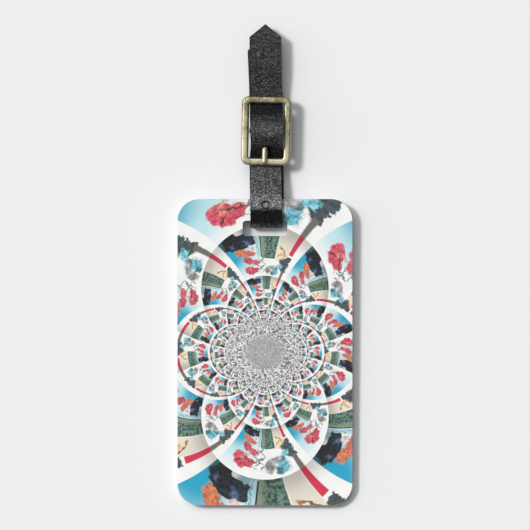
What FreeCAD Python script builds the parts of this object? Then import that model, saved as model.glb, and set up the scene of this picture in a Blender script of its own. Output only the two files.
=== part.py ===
"""Luggage tag: a printed acrylic card on a buckled leather strap.

Millimetres. The tag lies face up: +X across the card, +Y from the card towards the strap's tip,
+Z up. The origin is the middle of the object's outline, on the surface that it lies on.

The strap is one piece of leather, modelled as a ribbon whose side profile (in the YZ plane) runs
from its pointed tip, under, over and under the buckle's bars, down over the card, through the
card's slot, back behind it to the loop, and forward again to the buckle's centre bar, round which
its end is folded and stitched.
"""

import FreeCAD, Part
import math
import os

import Sketcher
from FreeCAD import Placement, Rotation, Vector

SIZES = {
    "card_width": (50.8, "2 in business-card width"),
    "card_height": (88.9, "3.5 in business-card height"),
    "card_thick": (3.0, "acrylic and both print layers"),
    "card_corner": (6.35, "corner radius"),
    "print_thick": (0.1, "each printed layer"),
    "slot_width": (12.9, "strap slot, across"),
    "slot_height": (4.4, "strap slot, along the card"),
    "slot_corner": (1.0, "corner radius of the slot"),
    "bridge": (6.3, "from the slot to the card's top edge"),
    "total_length": (139.5, "card's lower edge to strap's tip"),
    "strap_width": (9.1, "leather strap"),
    "leather": (1.15, "leather thickness"),
    "skived": (0.7, "leather pared thin where it is folded round the bar"),
    "ply_gap": (0.05, "air between plies that lie on each other"),
    "card_gap": (0.5, "air between the card and the front ply"),
    "card_rest": (0.04, "air between the card and the back ply"),
    "slot_fold_end": (10.74, "outer end of the strap's fold in the slot"),
    "slot_fold_inside": (0.5, "inner radius of that fold"),
    "slope_top": (19.9, "where the front ply starts down towards the buckle"),
    "slope_foot": (26.5, "where it meets the lower bar's level"),
    "base_end": (20.6, "where the strap starts to flex, clear of the card"),
    "flex_end": (25.6, "where the flexing stretch ends"),
    "tip_length": (3.7, "from the tip's shoulders to its point"),
    "hole_dia": (1.66, "punched hole"),
    "hole_from_bridge": (1.66, "spare hole's centre below the card's top edge"),
    "buckle_width": (14.4, "frame, across"),
    "buckle_length": (20.1, "frame, along the strap"),
    "buckle_thick": (1.6, "frame thickness"),
    "rail_width": (2.15, "width of each side of the frame"),
    "frame_corner": (2.3, "outer corner radius"),
    "window_corner": (0.6, "inner corner radius"),
    "frame_round": (0.45, "rounding of the frame's edges"),
    "bar_dia": (1.15, "centre bar"),
    "bar_inset": (0.4, "bar's ends from the frame's outer sides"),
    "prong_dia": (1.3, "prong wire"),
    "prong_reach": (9.7, "centre bar to the prong's end"),
    "prong_hole_width": (1.8, "the prong's hole, across the strap"),
    "prong_hole_length": (3.6, "the prong's hole, along the strap"),
    "prong_hole_shift": (0.14, "the hole's middle, up the slope from the prong"),
    "prong_air": (0.2, "air between the prong and the crest"),
    "prong_rest": (0.02, "air between the prong and the frame's lower bar"),
    "eye_clear": (0.03, "running clearance of the prong's eye round the bar"),
    "wrap_clear": (0.12, "clearance of the folded leather round the bar"),
    "buckle_y": (38.9, "centre bar's place along the strap"),
    "buckle_x": (0.35, "the frame hangs to one side of the strap"),
    "buckle_turn": (-1.2, "degrees that the buckle sits askew"),
    "rock_gap": (0.4, "play between the strap and the frame's end bars"),
    "crest_half": (3.7, "half of the crest's level top"),
    "dip_half": (7.3, "centre bar to the foot of the crest's slopes"),
    "tail_hinge": (10.7, "centre bar to where the tail starts to lift"),
    "fixed_dip": (6.6, "centre bar to where the fixed end levels out"),
    "tab_dip": (5.8, "centre bar to where the folded tab levels out"),
    "tab_end": (11.3, "centre bar to the tab's end"),
    "wrap_end": (3.4, "centre bar to the end of the pared fold"),
    "ramp_foot": (12.1, "centre bar to where the strap rises onto the loop"),
    "ramp_top": (18.1, "centre bar to the top of that rise"),
    "loop_end": (62.65, "end of the loop"),
    "loop_height": (4.2, "outer height of the loop's bend"),
    "crest_foot_bend": (1.2, "bend radius at the feet of the crest's slopes"),
    "crest_top_bend": (2.2, "bend radius at the crest's shoulders"),
    "slope_foot_bend": (5.0, "bend radius where the front ply levels out"),
    "slope_top_bend": (3.0, "bend radius where it leaves the card"),
    "ramp_bend": (7.0, "bend radius of the fixed end's rise onto the loop"),
    "fixed_bend": (2.5, "bend radius of the fixed end below the centre bar"),
    "tab_bend": (2.0, "bend radius of the folded tab"),
    "slit_clear": (0.6, "slit in the pared fold, wider than the prong"),
    "slit_length": (5.0, "that slit, along the strap"),
    "slit_shift": (0.2, "its middle, from the centre bar towards the card"),
    "stitch_first": (8.0, "centre bar to the first row of stitches"),
    "stitch_second": (10.4, "centre bar to the second row"),
    "stitch_side": (2.8, "stitches to each side of the middle one"),
    "thread_dia": (0.6, "waxed thread"),
}

doc = FreeCAD.newDocument("LuggageTag")
sheet = doc.addObject("Spreadsheet::Sheet", "Sizes")
for row, (alias, (value, meaning)) in enumerate(SIZES.items(), start=1):
    sheet.set(f"A{row}", meaning)
    sheet.set(f"B{row}", str(value))
    sheet.setAlias(f"B{row}", alias)
doc.recompute()


def size(alias):
    return float(sheet.get(alias))


# ---------------------------------------------------------------- derived places
HALF = size("total_length") / 2
LEATHER = size("leather")
SKIVED = size("skived")
PLY = LEATHER + size("ply_gap")
CARD_TOP = size("card_height") - HALF
SLOT_TOP = CARD_TOP - size("bridge")
SLOT_Y = SLOT_TOP - size("slot_height") / 2

BACK_Z = LEATHER / 2
FRONT_Z = BACK_Z + LEATHER + size("card_rest") + size("card_thick") + size("card_gap")
FOLD_Y = size("slot_fold_end") + LEATHER / 2
FOLD_R = size("slot_fold_inside") + LEATHER / 2
FOLD_START = FOLD_Y + FOLD_R
SLOPE_TOP = size("slope_top")
SLOPE_FOOT = size("slope_foot")
BASE_END = size("base_end")
FLEX_END = size("flex_end")

BAR_Y = size("buckle_y")
TAB_Z = LEATHER + size("ply_gap") + SKIVED / 2
FIXED_Z = TAB_Z + SKIVED / 2 + size("ply_gap") + LEATHER / 2
STEP_UP = PLY + size("ply_gap")
UNDER_Z = FIXED_Z + STEP_UP
BAR_Z = UNDER_Z + LEATHER / 2 + size("rock_gap") + size("buckle_thick") / 2
EYE_R = (size("bar_dia") + size("prong_dia")) / 2 + size("eye_clear")
PRONG_RISE = (size("buckle_thick") + size("prong_dia")) / 2 + size("prong_rest")
PRONG_Z = BAR_Z + PRONG_RISE
CREST_Z = PRONG_Z + size("prong_dia") / 2 + size("prong_air") + LEATHER / 2

LOOP_Y = size("loop_end") - LEATHER / 2
LOOP_Z = size("loop_height") - LEATHER / 2
LOOP_R = (LOOP_Z - BACK_Z) / 2
LOOP_START = LOOP_Y - LOOP_R
TAIL_Z = LOOP_Z + STEP_UP
RAMP_R = size("ramp_bend")
RAMP_FOOT = BAR_Y + size("ramp_foot")
RAMP_TOP = BAR_Y + size("ramp_top")
TAIL_HINGE = BAR_Y + size("tail_hinge")
FIXED_DIP = BAR_Y + size("fixed_dip")
TAB_DIP = BAR_Y + size("tab_dip")
TAB_END = BAR_Y + size("tab_end")
WRAP_END = BAR_Y + size("wrap_end")


# ---------------------------------------------------------------- general helpers
def origin_plane(body, role):
    return next(f for f in body.Origin.OriginFeatures if f.Role == role)


def new_body(name):
    body = doc.addObject("PartDesign::Body", name + "_body")
    body.Label = name
    return body


def new_sketch(body, name, role, offset=None):
    sketch = body.newObject("Sketcher::SketchObject", name)
    sketch.AttachmentSupport = [(origin_plane(body, role), "")]
    sketch.MapMode = "FlatFace"
    if offset is not None:
        sketch.AttachmentOffset = offset
    return sketch


def bind(obj, **expressions):
    for prop, expression in expressions.items():
        obj.setExpression(prop, expression)


def add_rectangle(sketch, width, height, middle=(0.0, 0.0)):
    """A rectangle whose width and height are bound to expressions, centred on a fixed middle."""
    cx, cy = middle
    w = doc_value(width) / 2
    h = doc_value(height) / 2
    corners = [
        Vector(cx - w, cy - h, 0),
        Vector(cx + w, cy - h, 0),
        Vector(cx + w, cy + h, 0),
        Vector(cx - w, cy + h, 0),
    ]
    first = sketch.GeometryCount
    for start, end in zip(corners, corners[1:] + corners[:1]):
        sketch.addGeometry(Part.LineSegment(start, end), False)
    centre = sketch.addGeometry(Part.Point(Vector(cx, cy, 0)), True)
    bottom, right, top, left = range(first, first + 4)
    for a, b in ((bottom, right), (right, top), (top, left), (left, bottom)):
        sketch.addConstraint(Sketcher.Constraint("Coincident", a, 2, b, 1))
    for side in (bottom, top):
        sketch.addConstraint(Sketcher.Constraint("Horizontal", side))
    for side in (right, left):
        sketch.addConstraint(Sketcher.Constraint("Vertical", side))
    sketch.addConstraint(Sketcher.Constraint("Symmetric", bottom, 1, top, 1, centre, 1))
    sketch.addConstraint(Sketcher.Constraint("DistanceX", -1, 1, centre, 1, cx))
    sketch.addConstraint(Sketcher.Constraint("DistanceY", -1, 1, centre, 1, cy))
    across = sketch.addConstraint(Sketcher.Constraint("DistanceX", bottom, 1, bottom, 2, 2 * w))
    along = sketch.addConstraint(Sketcher.Constraint("DistanceY", right, 1, right, 2, 2 * h))
    sketch.setExpression(f"Constraints[{across}]", width)
    sketch.setExpression(f"Constraints[{along}]", height)


def doc_value(expression):
    """Value of an expression such as Sizes.card_width - 2 * Sizes.rail_width."""
    return float(sheet.evalExpression(expression.replace("Sizes.", "")))


def add_pad(body, sketch, name, length, both_ways=False):
    pad = body.newObject("PartDesign::Pad", name)
    pad.Profile = sketch
    bind(pad, Length=length)
    if both_ways:
        pad.SideType = "Symmetric"
    doc.recompute()
    return pad


def add_pocket(body, sketch, name, depth, both_ways=False):
    """Cuts upward from the sketch, or both ways, and checks that material went."""
    before = body.Shape.Volume
    pocket = body.newObject("PartDesign::Pocket", name)
    pocket.Profile = sketch
    bind(pocket, Length=depth)
    if both_ways:
        pocket.SideType = "Symmetric"
    else:
        pocket.Reversed = True
    doc.recompute()
    if body.Shape.Volume > before - 0.01:
        raise RuntimeError(f"{name} cuts nothing")
    return pocket


def add_fillet(body, feature, name, radius, wanted):
    """Rounds the edges of the feature for which wanted(edge) is true."""
    edges = [f"Edge{i}" for i, edge in enumerate(feature.Shape.Edges, start=1) if wanted(edge)]
    fillet = body.newObject("PartDesign::Fillet", name)
    fillet.Base = (feature, edges)
    bind(fillet, Radius=radius)
    doc.recompute()
    return fillet


def is_upright(edge):
    a, b = (vertex.Point for vertex in edge.Vertexes[:2])
    return abs(a.x - b.x) < 1e-6 and abs(a.y - b.y) < 1e-6 and abs(a.z - b.z) > 1e-3


def add_oval(sketch, width, length, middle=(0.0, 0.0)):
    """A slot with round ends, long in the sketch's Y."""
    cx, cy = middle
    r = width / 2
    run = length / 2 - r
    up = Vector(0, 0, 1)
    left, right = cx - r, cx + r
    top = Part.ArcOfCircle(Part.Circle(Vector(cx, cy + run, 0), up, r), 0, math.pi)
    low = Part.ArcOfCircle(Part.Circle(Vector(cx, cy - run, 0), up, r), math.pi, 2 * math.pi)
    down = Part.LineSegment(Vector(left, cy + run, 0), Vector(left, cy - run, 0))
    rise = Part.LineSegment(Vector(right, cy - run, 0), Vector(right, cy + run, 0))
    for geometry in (top, down, low, rise):
        sketch.addGeometry(geometry, False)


# ---------------------------------------------------------------- card and its prints
def make_card_layer(name, thickness, level):
    """The card's outline with the strap slot, as one layer of the card at a height above its back."""
    body = new_body(name)
    lift = Placement(Vector(0, 0, level), Rotation())
    outline = new_sketch(body, name + "_outline", "XY_Plane", lift)
    add_rectangle(outline, "Sizes.card_width", "Sizes.card_height", (0.0, size("card_height") / 2))
    pad = add_pad(body, outline, name + "_pad", thickness)
    corners = add_fillet(body, pad, name + "_corners", "Sizes.card_corner", is_upright)
    slot = new_sketch(body, name + "_slot", "XY_Plane", lift)
    add_rectangle(slot, "Sizes.slot_width", "Sizes.slot_height", (0.0, SLOT_Y + HALF))
    cut = add_pocket(body, slot, name + "_slot_cut", "Sizes.card_thick")
    reach = size("slot_width") / 2 + 0.1

    def is_slot_corner(edge):
        return is_upright(edge) and abs(edge.CenterOfMass.x) < reach

    add_fillet(body, cut, name + "_slot_corners", "Sizes.slot_corner", is_slot_corner)
    body.Placement = card_placement()
    return body


def card_placement():
    """The card leans on the strap's back ply: its lower edge touches the surface."""
    rise = LEATHER + size("card_rest")
    lean = math.asin(rise / (SLOT_TOP + HALF))
    shift = size("card_thick") * math.sin(lean)
    return Placement(
        Vector(0, shift - HALF, 0),
        Rotation(Vector(1, 0, 0), math.degrees(lean)),
    )


# ---------------------------------------------------------------- leather ribbon
def bent_path(corners):
    """Straight runs joined by tangent arcs, from (y, z, bend radius) corners in the YZ plane."""
    points = [Vector(y, z, 0) for y, z, _ in corners]
    elements = []
    start = points[0]
    for before, point, after, (_, _, radius) in zip(points, points[1:], points[2:], corners[1:]):
        arrive = (point - before).normalize()
        leave = (after - point).normalize()
        turn = math.atan2(arrive.x * leave.y - arrive.y * leave.x, arrive.dot(leave))
        reach = radius * math.tan(abs(turn) / 2)
        entry = point - arrive * reach
        if (entry - start).Length > 1e-6:
            elements.append(("run", start, entry))
        side = math.copysign(1.0, turn)
        centre = entry + Vector(-arrive.y, arrive.x, 0) * (side * radius)
        elements.append(("arc", centre, radius, entry, point + leave * reach, side))
        start = point + leave * reach
    if (points[-1] - start).Length > 1e-6:
        elements.append(("run", start, points[-1]))
    return elements


def shifted(element, offset):
    """The element moved to its left by offset: its curve and its two ends."""
    if element[0] == "run":
        _, start, end = element
        along = (end - start).normalize()
        move = Vector(-along.y, along.x, 0) * offset
        return Part.LineSegment(start + move, end + move), start + move, end + move
    _, centre, radius, start, end, side = element
    new_radius = radius - side * offset
    first = centre + (start - centre) * (new_radius / radius)
    last = centre + (end - centre) * (new_radius / radius)
    angles = [math.atan2(p.y - centre.y, p.x - centre.x) for p in (first, last)]
    if side < 0:
        angles.reverse()
    circle = Part.Circle(centre, Vector(0, 0, 1), new_radius)
    return Part.ArcOfCircle(circle, *angles), first, last


def make_ribbon(name, corners, thickness="leather"):
    """One stretch of the strap: its side profile, extruded across the strap's width."""
    body = new_body(name)
    profile = new_sketch(body, name + "_profile", "YZ_Plane")
    half = size(thickness) / 2
    path = bent_path(corners)
    ends = []
    for offset in (half, -half):
        sides = [shifted(element, offset) for element in path]
        for curve, _, _ in sides:
            profile.addGeometry(curve, False)
        ends.append((sides[0][1], sides[-1][2]))
    for a, b in zip(*ends):
        cap = profile.addGeometry(Part.LineSegment(a, b), False)
        gauge = profile.addConstraint(Sketcher.Constraint("Distance", cap, 2 * half))
        profile.setExpression(f"Constraints[{gauge}]", "Sizes." + thickness)
    add_pad(body, profile, name + "_pad", "Sizes.strap_width", both_ways=True)
    return body


def make_tail():
    """The strap's free end, with its pointed tip."""
    body = make_ribbon("strap_tail", [
        (HALF, TAIL_Z, 0),
        (RAMP_TOP, TAIL_Z, RAMP_R + PLY),
        (RAMP_FOOT, UNDER_Z, RAMP_R - PLY),
        (TAIL_HINGE, UNDER_Z, 0),
    ])
    half = size("strap_width") / 2
    shoulder = HALF - size("tip_length")
    waste = new_sketch(body, "tip_waste", "XY_Plane")
    for side in (1, -1):
        corners = [
            Vector(side * half, shoulder, 0),
            Vector(side * (half + 1), shoulder, 0),
            Vector(side * (half + 1), HALF + 1, 0),
            Vector(0, HALF + 1, 0) if side > 0 else Vector(-0.01, HALF + 1, 0),
            Vector(0, HALF, 0) if side > 0 else Vector(-0.01, HALF, 0),
        ]
        for start, end in zip(corners, corners[1:] + corners[:1]):
            waste.addGeometry(Part.LineSegment(start, end), False)
    add_pocket(body, waste, "tip_cut", "Sizes.loop_height * 3")
    return body


def make_crest():
    """Under the frame's top bar, over the centre bar and under the lower bar, with the prong's hole."""
    foot = BAR_Y - size("dip_half")
    shoulder = BAR_Y - size("crest_half")
    body = make_ribbon("strap_crest", [
        (TAIL_HINGE, UNDER_Z, 0),
        (BAR_Y + size("dip_half"), UNDER_Z, size("crest_foot_bend")),
        (BAR_Y + size("crest_half"), CREST_Z, size("crest_top_bend")),
        (shoulder, CREST_Z, size("crest_top_bend")),
        (foot, UNDER_Z, size("crest_foot_bend")),
        (SLOPE_FOOT, UNDER_Z, size("slope_foot_bend")),
        flex_corner(FLEX_END),
    ])
    slope = math.atan2(CREST_Z - UNDER_Z, shoulder - foot)
    across = foot + (PRONG_Z - UNDER_Z) / math.tan(slope)
    on_slope = Placement(
        Vector(0, across, PRONG_Z),
        Rotation(Vector(1, 0, 0), math.degrees(slope)),
    )
    hole = new_sketch(body, "prong_hole", "XY_Plane", on_slope)
    middle = (0.0, size("prong_hole_shift"))
    add_oval(hole, size("prong_hole_width"), size("prong_hole_length"), middle)
    add_pocket(body, hole, "prong_hole_cut", "Sizes.leather * 2", both_ways=True)
    return body


def flex_corner(y):
    """A point of the front ply between the card and the buckle, where it slopes down."""
    fall = (FRONT_Z - UNDER_Z) / (SLOPE_FOOT - SLOPE_TOP)
    return (y, FRONT_Z - (y - SLOPE_TOP) * fall, 0)


def make_front_base():
    """The front ply over the card, with the spare punched hole."""
    body = make_ribbon("strap_front_base", [
        flex_corner(BASE_END),
        (SLOPE_TOP, FRONT_Z, size("slope_top_bend")),
        (FOLD_START, FRONT_Z, 0),
    ])
    hole = new_sketch(body, "spare_hole", "XY_Plane")
    circle = Part.Circle(Vector(0, CARD_TOP - size("hole_from_bridge"), 0), Vector(0, 0, 1), 1.0)
    hole.addGeometry(circle, False)
    bore = hole.addConstraint(Sketcher.Constraint("Diameter", 0, size("hole_dia")))
    hole.setExpression(f"Constraints[{bore}]", "Sizes.hole_dia")
    add_pocket(body, hole, "spare_hole_cut", "Sizes.loop_height * 2")
    return body


def tangent_slope(radius, away, below):
    """Slope of a line that passes over the bar's axis at a radius (under it, if negative)."""
    return math.atan2(below, away) + math.asin(radius / math.hypot(away, below))


WRAP_R = size("bar_dia") / 2 + size("wrap_clear") + SKIVED / 2
UPPER_SLOPE = tangent_slope(WRAP_R, FIXED_DIP - BAR_Y, BAR_Z - FIXED_Z)
LOWER_SLOPE = tangent_slope(-WRAP_R, TAB_DIP - BAR_Y, BAR_Z - TAB_Z)


def on_upper_slope(y):
    return (y, FIXED_Z + (FIXED_DIP - y) * math.tan(UPPER_SLOPE), 0)


def on_lower_slope(y):
    return (y, TAB_Z + (TAB_DIP - y) * math.tan(LOWER_SLOPE), 0)


def make_bar_wrap():
    """The end folded round the centre bar, slit where the prong's eye sits."""
    first = math.pi / 2 - UPPER_SLOPE
    last = 3 * math.pi / 2 - LOWER_SLOPE
    count = 3
    step = (last - first) / count
    reach = WRAP_R / math.cos(step / 2)
    corners = [on_upper_slope(WRAP_END)]
    for i in range(count):
        angle = first + (i + 0.5) * step
        corners.append((BAR_Y + reach * math.cos(angle), BAR_Z + reach * math.sin(angle), WRAP_R))
    corners.append(on_lower_slope(WRAP_END))
    body = make_ribbon("strap_bar_wrap", corners, "skived")
    slit = new_sketch(body, "wrap_slit", "XY_Plane")
    middle = (0.0, BAR_Y - size("slit_shift"))
    add_rectangle(slit, "Sizes.prong_dia + Sizes.slit_clear", "Sizes.slit_length", middle)
    add_pocket(body, slit, "wrap_slit_cut", "Sizes.loop_height * 2")
    return body


def make_stitches():
    """Six short threads through the folded end and the ply above it."""
    low = TAB_Z - SKIVED / 2
    high = FIXED_Z + LEATHER / 2
    body = new_body("fold_stitches")
    holes = new_sketch(body, "stitch_rows", "XY_Plane", Placement(Vector(0, 0, low), Rotation()))
    side = size("stitch_side")
    radius = size("thread_dia") / 2
    for y in (BAR_Y + size("stitch_first"), BAR_Y + size("stitch_second")):
        for x in (-side, 0.0, side):
            holes.addGeometry(Part.Circle(Vector(x, y, 0), Vector(0, 0, 1), radius), False)
    thread = add_pad(body, holes, "threads", f"{high - low} mm")
    thread.AllowMultiFace = True
    doc.recompute()
    return body


# ---------------------------------------------------------------- buckle
def buckle_placement():
    return Placement(
        Vector(size("buckle_x"), BAR_Y, BAR_Z),
        Rotation(Vector(0, 0, 1), size("buckle_turn")),
    )


def make_frame():
    """A flat rounded frame, bored for the centre bar."""
    body = new_body("buckle_frame")
    low = Placement(Vector(0, 0, -size("buckle_thick") / 2), Rotation())
    outline = new_sketch(body, "frame_outline", "XY_Plane", low)
    add_rectangle(outline, "Sizes.buckle_width", "Sizes.buckle_length")
    pad = add_pad(body, outline, "frame_pad", "Sizes.buckle_thick")
    corners = add_fillet(body, pad, "frame_corners", "Sizes.frame_corner", is_upright)
    window = new_sketch(body, "frame_window", "XY_Plane", low)
    add_rectangle(
        window,
        "Sizes.buckle_width - 2 * Sizes.rail_width",
        "Sizes.buckle_length - 2 * Sizes.rail_width",
    )
    opened = add_pocket(body, window, "window_cut", "Sizes.buckle_thick")
    inside = size("buckle_width") / 2 - size("rail_width") + 0.05

    def is_window_corner(edge):
        return is_upright(edge) and abs(edge.CenterOfMass.x) < inside

    framed = add_fillet(body, opened, "window_corners", "Sizes.window_corner", is_window_corner)
    face_level = size("buckle_thick") / 2

    def is_rim(edge):
        ends = [vertex.Point.z for vertex in edge.Vertexes]
        return all(abs(abs(z) - face_level) < 1e-6 for z in ends) and not is_upright(edge)

    rounded = add_fillet(body, framed, "frame_rounds", "Sizes.frame_round", is_rim)
    bore = new_sketch(body, "bar_bore", "YZ_Plane")
    bore.addGeometry(Part.Circle(Vector(0, 0, 0), Vector(0, 0, 1), 1.0), False)
    dia = bore.addConstraint(Sketcher.Constraint("Diameter", 0, size("bar_dia")))
    bore.setExpression(f"Constraints[{dia}]", "Sizes.bar_dia")
    add_pocket(body, bore, "bar_bore_cut", "Sizes.buckle_width - 2 * Sizes.bar_inset", both_ways=True)
    body.Placement = buckle_placement()
    return body


def make_centre_bar():
    """The pin that the strap's end and the prong turn on, pressed into the frame's sides."""
    bar = doc.addObject("Part::Cylinder", "centre_bar")
    bar.Label = "centre_bar"
    bind(bar, Radius="Sizes.bar_dia / 2", Height="Sizes.buckle_width - 2 * Sizes.bar_inset")
    doc.recompute()
    reach = bar.Height.Value / 2
    along_x = Placement(Vector(-reach, 0, 0), Rotation(Vector(0, 1, 0), 90))
    bar.Placement = buckle_placement() * along_x
    return bar


def make_prong():
    """A wire bent into an eye round the centre bar, lying over the frame's lower bar."""
    body = new_body("prong")
    radius = size("prong_dia") / 2
    up = Vector(0, 0, 1)
    section = new_sketch(body, "eye_section", "XY_Plane")
    section.addGeometry(Part.Circle(Vector(0, EYE_R, 0), up, radius), False)
    gauge = section.addConstraint(Sketcher.Constraint("Diameter", 0, 2 * radius))
    section.setExpression(f"Constraints[{gauge}]", "Sizes.prong_dia")
    eye = body.newObject("PartDesign::Revolution", "eye")
    eye.Profile = section
    eye.ReferenceAxis = (section, ["H_Axis"])
    eye.Angle = 360
    doc.recompute()

    half = new_sketch(body, "shank_half", "YZ_Plane")
    end = radius - size("prong_reach")
    low = PRONG_RISE - radius
    tip = Vector(end - radius, PRONG_RISE, 0)
    root = Vector(0, PRONG_RISE, 0)
    half.addGeometry(Part.LineSegment(tip, root), False)
    half.addGeometry(Part.LineSegment(root, Vector(0, low, 0)), False)
    half.addGeometry(Part.LineSegment(Vector(0, low, 0), Vector(end, low, 0)), False)
    dome = Part.Circle(Vector(end, PRONG_RISE, 0), up, radius)
    half.addGeometry(Part.ArcOfCircle(dome, math.pi, 1.5 * math.pi), False)
    shank = body.newObject("PartDesign::Revolution", "shank")
    shank.Profile = half
    shank.ReferenceAxis = (half, ["Edge1"])
    shank.Angle = 360
    doc.recompute()
    body.Placement = Placement(Vector(0, BAR_Y, BAR_Z), buckle_placement().Rotation)
    return body


# ---------------------------------------------------------------- the whole tag
PRINT = size("print_thick")

parts = [
    make_card_layer("tag_plate", "Sizes.card_thick - 2 * Sizes.print_thick", PRINT),
    make_card_layer("front_print", "Sizes.print_thick", size("card_thick") - PRINT),
    make_card_layer("back_print", "Sizes.print_thick", 0.0),
    make_tail(),
    make_crest(),
    make_ribbon("strap_front_flex", [flex_corner(FLEX_END), flex_corner(BASE_END)]),
    make_front_base(),
    make_ribbon("strap_slot_bend", [
        (FOLD_START, FRONT_Z, 0),
        (FOLD_Y, FRONT_Z, FOLD_R),
        (FOLD_Y, BACK_Z, FOLD_R),
        (FOLD_START, BACK_Z, 0),
    ]),
    make_ribbon("strap_back_base", [(FOLD_START, BACK_Z, 0), (BASE_END, BACK_Z, 0)]),
    make_ribbon("strap_back_flex", [(BASE_END, BACK_Z, 0), (FLEX_END, BACK_Z, 0)]),
    make_ribbon("strap_back_run", [(FLEX_END, BACK_Z, 0), (LOOP_START, BACK_Z, 0)]),
    make_ribbon("strap_loop_bend", [
        (LOOP_START, BACK_Z, 0),
        (LOOP_Y, BACK_Z, LOOP_R),
        (LOOP_Y, LOOP_Z, LOOP_R),
        (LOOP_START, LOOP_Z, 0),
    ]),
    make_ribbon("strap_fixed_run", [
        (LOOP_START, LOOP_Z, 0),
        (RAMP_TOP, LOOP_Z, RAMP_R),
        (RAMP_FOOT, FIXED_Z, RAMP_R),
        (FIXED_DIP, FIXED_Z, size("fixed_bend")),
        on_upper_slope(WRAP_END),
    ]),
    make_bar_wrap(),
    make_ribbon("strap_fold_tab", [
        on_lower_slope(WRAP_END),
        (TAB_DIP, TAB_Z, size("tab_bend")),
        (TAB_END, TAB_Z, 0),
    ], "skived"),
    make_stitches(),
    make_frame(),
    make_centre_bar(),
    make_prong(),
]

doc.recompute()
failed = [o.Name for o in doc.Objects if {"Invalid", "Error"} & set(o.State)]
if failed:
    raise RuntimeError(f"failed objects: {failed}")
for part in parts:
    if part.Shape.isNull() or not part.Shape.isValid():
        raise RuntimeError(f"{part.Label} has no valid shape")

os.makedirs("parts", exist_ok=True)
for part in parts:
    part.Shape.exportStep(f"parts/{part.Label}.step")
    box = part.Shape.BoundBox
    print(
        f"{part.Label:18s} {part.Shape.Volume:9.2f} mm3  x {box.XMin:7.2f} {box.XMax:7.2f}"
        f"  y {box.YMin:7.2f} {box.YMax:7.2f}  z {box.ZMin:6.2f} {box.ZMax:6.2f}"
        f"  solids {len(part.Shape.Solids)}"
    )
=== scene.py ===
"""A luggage tag: a printed acrylic card that hangs on a black leather loop with a brass buckle."""
import math

import bmesh
import bpy
from mathutils import Matrix, Vector, noise


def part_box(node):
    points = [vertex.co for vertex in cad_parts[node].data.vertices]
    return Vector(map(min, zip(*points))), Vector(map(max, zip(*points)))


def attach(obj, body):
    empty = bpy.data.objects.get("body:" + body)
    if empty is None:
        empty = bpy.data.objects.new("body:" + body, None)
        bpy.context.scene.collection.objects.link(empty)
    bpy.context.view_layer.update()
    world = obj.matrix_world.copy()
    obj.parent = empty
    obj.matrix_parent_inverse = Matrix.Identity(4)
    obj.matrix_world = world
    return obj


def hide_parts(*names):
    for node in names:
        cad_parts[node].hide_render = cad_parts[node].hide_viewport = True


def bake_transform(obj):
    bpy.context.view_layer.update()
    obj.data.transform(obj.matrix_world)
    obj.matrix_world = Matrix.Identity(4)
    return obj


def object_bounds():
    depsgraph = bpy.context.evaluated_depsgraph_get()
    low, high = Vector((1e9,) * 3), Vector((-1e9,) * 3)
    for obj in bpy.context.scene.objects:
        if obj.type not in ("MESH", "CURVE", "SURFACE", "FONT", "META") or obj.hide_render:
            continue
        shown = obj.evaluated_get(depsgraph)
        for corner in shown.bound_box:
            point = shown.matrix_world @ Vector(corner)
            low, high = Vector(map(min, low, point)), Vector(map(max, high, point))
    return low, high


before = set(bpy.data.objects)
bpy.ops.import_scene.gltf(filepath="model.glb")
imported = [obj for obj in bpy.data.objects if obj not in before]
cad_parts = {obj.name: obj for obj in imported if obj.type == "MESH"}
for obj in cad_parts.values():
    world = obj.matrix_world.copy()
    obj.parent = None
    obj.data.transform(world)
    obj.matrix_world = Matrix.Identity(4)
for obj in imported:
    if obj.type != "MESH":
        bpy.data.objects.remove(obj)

CAD_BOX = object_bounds()
MM = 0.001


# ---------------------------------------------------------------- places read from the frame
def low(node):
    return Vector(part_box(node)[0])


def high(node):
    return Vector(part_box(node)[1])


def middle(node):
    return (low(node) + high(node)) / 2


LEATHER = high("strap_back_run").z - low("strap_back_run").z
SKIVED = 0.7 * MM
HALF_WIDTH = high("strap_back_run").x + 0.06 * MM
TIP_Y = high("strap_tail").y
TIP_LENGTH = 3.7 * MM
TAIL_Z = high("strap_tail").z - LEATHER / 2
UNDER_Z = low("strap_tail").z + LEATHER / 2
CREST_Z = high("strap_crest").z - LEATHER / 2
FRONT_Z = high("strap_front_base").z - LEATHER / 2
BACK_Z = high("strap_back_run").z - LEATHER / 2
FOLD_Y = low("strap_slot_bend").y + LEATHER / 2
LOOP_Y = high("strap_loop_bend").y - LEATHER / 2
LOOP_Z = high("strap_loop_bend").z - LEATHER / 2
FIXED_Z = low("strap_fixed_run").z + LEATHER / 2
TAB_Z = low("strap_fold_tab").z + SKIVED / 2
TAB_END = high("strap_fold_tab").y
BAR = middle("centre_bar")
BAR_RADIUS = (high("centre_bar").z - low("centre_bar").z) / 2
BUCKLE_TURN = math.radians(-1.2)
BUCKLE = Matrix.Translation(BAR) @ Matrix.Rotation(BUCKLE_TURN, 4, "Z")

CARD_SIZE = Vector((50.8, 88.9)) * MM
CARD_CORNER = 6.35 * MM
CARD_THICK = 3.0 * MM
PRINT = 0.1 * MM
SLOT_SIZE = Vector((12.9, 4.4)) * MM
SLOT_CORNER = 1.0 * MM
SLOT_ACROSS_CARD = 80.4 * MM
CORE = CARD_THICK - 2 * PRINT
CARD_LEAN = math.asin((high("tag_plate").z - low("tag_plate").z - CORE) / CARD_SIZE.y)
CARD_FOOT = low("back_print").y + PRINT * math.sin(CARD_LEAN)
CARD = Matrix.Translation((0, CARD_FOOT, 0)) @ Matrix.Rotation(CARD_LEAN, 4, "X")


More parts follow.
